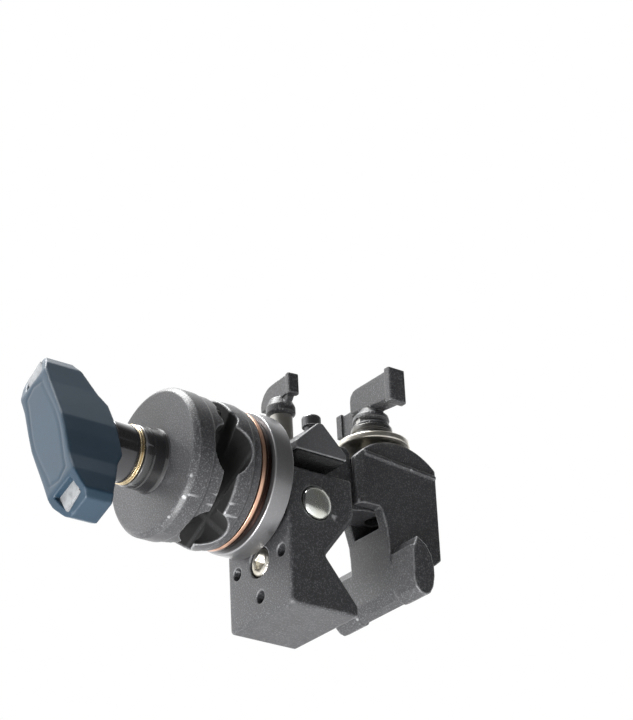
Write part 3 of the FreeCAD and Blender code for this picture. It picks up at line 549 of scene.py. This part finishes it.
# screws: radius, pitch, and the plain stretches as start, end and radius
screwLook = {"clamp": (4.97, 1.5, [(66.0, 83.0, 4.97)]),
             "lock": (3.98, 1.25, [(57.8, 70.6, 4.97), (70.6, 79.0, 2.97)]),
             "main": (4.72, 1.5875, [(-133.0, -95.5, 4.72)])}
threaded("clampScrew", "clamp_screw", "Z", *screwLook["clamp"])
threaded("lockScrew", "lock_screw", "Z", *screwLook["lock"])
threaded("mainScrew", "main_screw", "X", *screwLook["main"])

# springs: mean radius, wire and turns
springLook = {"jaw": (6.2, 1.1, 5), "return": (6.15, 1.15, 4), "button": (4.6, 0.7, 3)}
coil("jawSpring", "jaw_spring", "X", *springLook["jaw"])
coil("jawReturnSpring", "jaw_return_spring", "Z", *springLook["return"])
coil("buttonSpring", "button_spring", "Y", *springLook["button"])
print("screws and springs made")

# domed safety button
buttonLook = {"dome": 7.3, "rise": 3.3, "head": 4.2, "stem": 3.88, "waist": 2.6, "waistFrom": -9.0,
              "waistTo": 3.1, "slot": 3.32, "slotFrom": 12.1, "slotTo": 12.88, "steps": 14, "sides": 96}
front, back = endsOf("stud_button", "Y")
dome, stem, waist, slot = [buttonLook[key] for key in ("dome", "stem", "waist", "slot")]
steps, sides = buttonLook["steps"], buttonLook["sides"]
domeLine = [(front + buttonLook["rise"] * (1 - math.cos(angle)), dome * math.sin(angle))
            for angle in [math.pi / 2 * step / steps for step in range(1, steps + 1)]]
stemLine = [(front + buttonLook["head"], dome), (front + buttonLook["head"], stem),
            (buttonLook["waistFrom"], stem), (buttonLook["waistFrom"], waist),
            (buttonLook["waistTo"], waist), (buttonLook["waistTo"], stem),
            (buttonLook["slotFrom"], stem), (buttonLook["slotFrom"], slot),
            (buttonLook["slotTo"], slot), (buttonLook["slotTo"], stem), (back, stem)]
buttonCentre = centreOf("stud_button")
buttonLoops = [[onAxis("Y", buttonCentre, along, radius, 2 * math.pi * step / sides)
                for step in range(sides)] for along, radius in domeLine + stemLine]
dress(skin("studButton", buttonLoops), "stud_button")

# knurled cap screw in the fixed jaw
capLook = {"teeth": 30, "radius": 6.18, "valley": 5.75, "hex": 3.45, "depth": 4.1, "shank": 2.98}


def capScrew():
    centre = centreOf("jaw_cap_screw")
    left, right = endsOf("jaw_cap_screw", "X")
    count = capLook["teeth"] * 4

    def ring(along, radius, valley=None, flats=False):
        loop = []
        for step in range(count):
            angle = 2 * math.pi * step / count
            reach = valley if valley and step % 4 in (0, 3) else radius
            if flats:
                swing = (angle + math.pi / 6) % (math.pi / 3) - math.pi / 6
                reach = radius * math.cos(math.pi / 6) / math.cos(swing)
            loop.append(onAxis("X", centre, along, reach, angle))
        return loop

    loops = [ring(left + capLook["depth"], 0.3),
             ring(left + capLook["depth"], capLook["hex"], flats=True),
             ring(left + 0.25, capLook["hex"], flats=True), ring(left, capLook["hex"] + 0.3, flats=True),
             ring(left, 5.2), ring(left + 0.35, 5.65),
             ring(left + 0.8, capLook["radius"], capLook["valley"]),
             ring(left + 6.1, capLook["radius"], capLook["valley"]), ring(left + 6.38, 5.6),
             ring(left + 6.4, capLook["shank"]), ring(right - 0.7, capLook["shank"]), ring(right, 2.2)]
    return dress(skin("capScrew", loops), "jaw_cap_screw")


capScrew()
print("button and cap screw made")

# dotted rubber pad under the wedge
padLook = {"pitch": 1.3, "dot": 0.42, "rise": 0.22, "bore": 7.0, "boreX": -27.3, "gap": 0.2,
           "corner": 0.8, "crease": 50}


def dottedPad():
    low, high = [[value / mm for value in corner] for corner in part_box("wedge_pad")]
    mesh = frame["nodes"]["wedge_pad"].data.copy()
    work = bmesh.new()
    work.from_mesh(mesh)
    bmesh.ops.remove_doubles(work, verts=work.verts, dist=0.00001)
    pitch, dot, rise = padLook["pitch"], padLook["dot"], padLook["rise"]
    corner = padLook["corner"]

    def bead(place, out, side, up):
        rings = [(dot, 0.0), (dot * 0.72, rise * 0.75), (dot * 0.25, rise)]
        rows = []
        for radius, height in rings:
            row = []
            for turn in [math.pi / 3 * step for step in range(6)]:
                point = [place[axis] + out[axis] * height + side[axis] * radius * math.cos(turn)
                         + up[axis] * radius * math.sin(turn) for axis in range(3)]
                row.append(work.verts.new([value * mm for value in point]))
            rows.append(row)
        for lower, upper in zip(rows, rows[1:]):
            for step in range(6):
                work.faces.new((lower[step], lower[step - 5], upper[step - 5], upper[step]))
        work.faces.new(rows[-1])
        work.faces.new(list(reversed(rows[0])))

    def grid(start, end):
        count = int((end - start - 2 * dot) / pitch)
        first = (start + end - count * pitch) / 2
        return [first + pitch * step for step in range(count + 1)]

    for x in grid(low[0], high[0]):
        for y in grid(low[1], high[1]):
            if math.hypot(x - padLook["boreX"], y) > padLook["bore"] + dot + padLook["gap"]:
                bead((x, y, low[2]), (0, 0, -1), (1, 0, 0), (0, -1, 0))
    for z in grid(low[2], high[2]):
        for x in grid(low[0] + corner, high[0] - corner):
            bead((x, low[1], z), (0, -1, 0), (1, 0, 0), (0, 0, 1))
            bead((x, high[1], z), (0, 1, 0), (-1, 0, 0), (0, 0, 1))
        for y in grid(low[1] + corner, high[1] - corner):
            bead((low[0], y, z), (-1, 0, 0), (0, -1, 0), (0, 0, 1))
            bead((high[0], y, z), (1, 0, 0), (0, 1, 0), (0, 0, 1))
    bmesh.ops.recalc_face_normals(work, faces=work.faces)
    work.to_mesh(mesh)
    work.free()
    piece = dress(newPiece("wedgePad", mesh), "wedge_pad")
    piece.data.set_sharp_from_angle(angle=math.radians(padLook["crease"]))
    return piece


dottedPad()
print("pad made")

# the nodes whose own shape is right get their finish
for node, piece in frame["nodes"].items():
    if node in replaced:
        continue
    for slot in piece.material_slots:
        slot.material = paints[slotOf[node]]
print("carried nodes dressed")

# camera, floor and light
cameraView = {"azimuth": -38.74, "elevation": -26.93, "roll": -2.93, "distance": 1160.0, "lens": 157.7,
              "aim": (-37.0, -38.4, 78.9)}


def placeCamera():
    turn, rise, roll = [math.radians(cameraView[key]) for key in ("azimuth", "elevation", "roll")]
    back = Vector((math.sin(turn) * math.cos(rise), -math.cos(turn) * math.cos(rise), math.sin(rise)))
    level = Vector((0, 0, 1)).cross(back).normalized()
    upright = back.cross(level)
    side = level * math.cos(roll) + upright * math.sin(roll)
    up = back.cross(side)
    camera = bpy.data.objects.new("camera", bpy.data.cameras.new("camera"))
    bpy.context.scene.collection.objects.link(camera)
    camera.data.sensor_width = 36
    camera.data.sensor_fit = "HORIZONTAL"
    camera.data.lens = cameraView["lens"]
    camera.data.clip_start = 0.01
    place = (Vector(cameraView["aim"]) + back * cameraView["distance"]) * mm
    matrix = camera.matrix_world.copy()
    for row in range(3):
        for column, way in enumerate((side, up, back, place)):
            matrix[row][column] = way[row]
    camera.matrix_world = matrix
    bpy.context.scene.camera = camera


# the lamps' aim, the sweep's range along Y, and its strength behind, in front and as shown to the camera
lightLook = {"aim": (-0.04, 0, 0.03), "sweep": (-0.35, 0.55), "behind": 1.9, "front": 0.11, "shown": 1.0}


def placeLight(name, place, size, power):
    light = bpy.data.objects.new(name, bpy.data.lights.new(name, "AREA"))
    bpy.context.scene.collection.objects.link(light)
    light.data.shape = "SQUARE"
    light.data.size = size
    light.data.energy = power
    light.location = place
    aim = Vector(lightLook["aim"]) - Vector(place)
    light.rotation_euler = aim.to_track_quat("-Z", "Y").to_euler()


floorLook = {"height": -0.75, "half": 6.0, "tone": (0.80, 0.80, 0.80), "pale": (0.84, 0.84, 0.84)}


def placeFloor():
    height, half = floorLook["height"], floorLook["half"]
    corners = [(-half, -half, height), (half, -half, height), (half, half, height), (-half, half, height)]
    mesh = bpy.data.meshes.new("floor")
    mesh.from_pydata(corners, [], [(0, 1, 2, 3)])
    floor = newPiece("floor", mesh)
    paint = Paint("floorPaint")
    cloud = paint.noise(3.0, 3.0)
    color = paint.blend(cloud, floorLook["tone"], floorLook["pale"])
    floor.data.materials.append(paint.finish(color, 0.9))


def placeWorld():
    # a white sweep behind the object and a dim room on the near side
    world = bpy.data.worlds.new("studio")
    world.use_nodes = True
    tree = world.node_tree
    shade = tree.nodes["Background"]
    way = tree.nodes.new("ShaderNodeTexCoord")
    parts = tree.nodes.new("ShaderNodeSeparateXYZ")
    sweep = tree.nodes.new("ShaderNodeMapRange")
    sweep.interpolation_type = "SMOOTHSTEP"
    for index, value in enumerate((*lightLook["sweep"], lightLook["front"], lightLook["behind"])):
        sweep.inputs[index + 1].default_value = value
    path = tree.nodes.new("ShaderNodeLightPath")
    pick = tree.nodes.new("ShaderNodeMix")
    pick.inputs[3].default_value = lightLook["shown"]
    tree.links.new(way.outputs["Generated"], parts.inputs[0])
    tree.links.new(parts.outputs[1], sweep.inputs[0])
    tree.links.new(path.outputs["Is Camera Ray"], pick.inputs[0])
    tree.links.new(sweep.outputs[0], pick.inputs[2])
    tree.links.new(pick.outputs[0], shade.inputs["Strength"])
    shade.inputs["Color"].default_value = (1, 1, 1, 1)
    bpy.context.scene.world = world


placeCamera()
placeFloor()
placeWorld()
placeLight("underLeft", (-0.62, -0.12, -0.68), 0.45, 15.0)
placeLight("overhead", (-0.3, 0.25, 1.1), 0.6, 24.0)
bpy.context.scene.view_settings.view_transform = "Standard"
print("camera, floor and light placed")
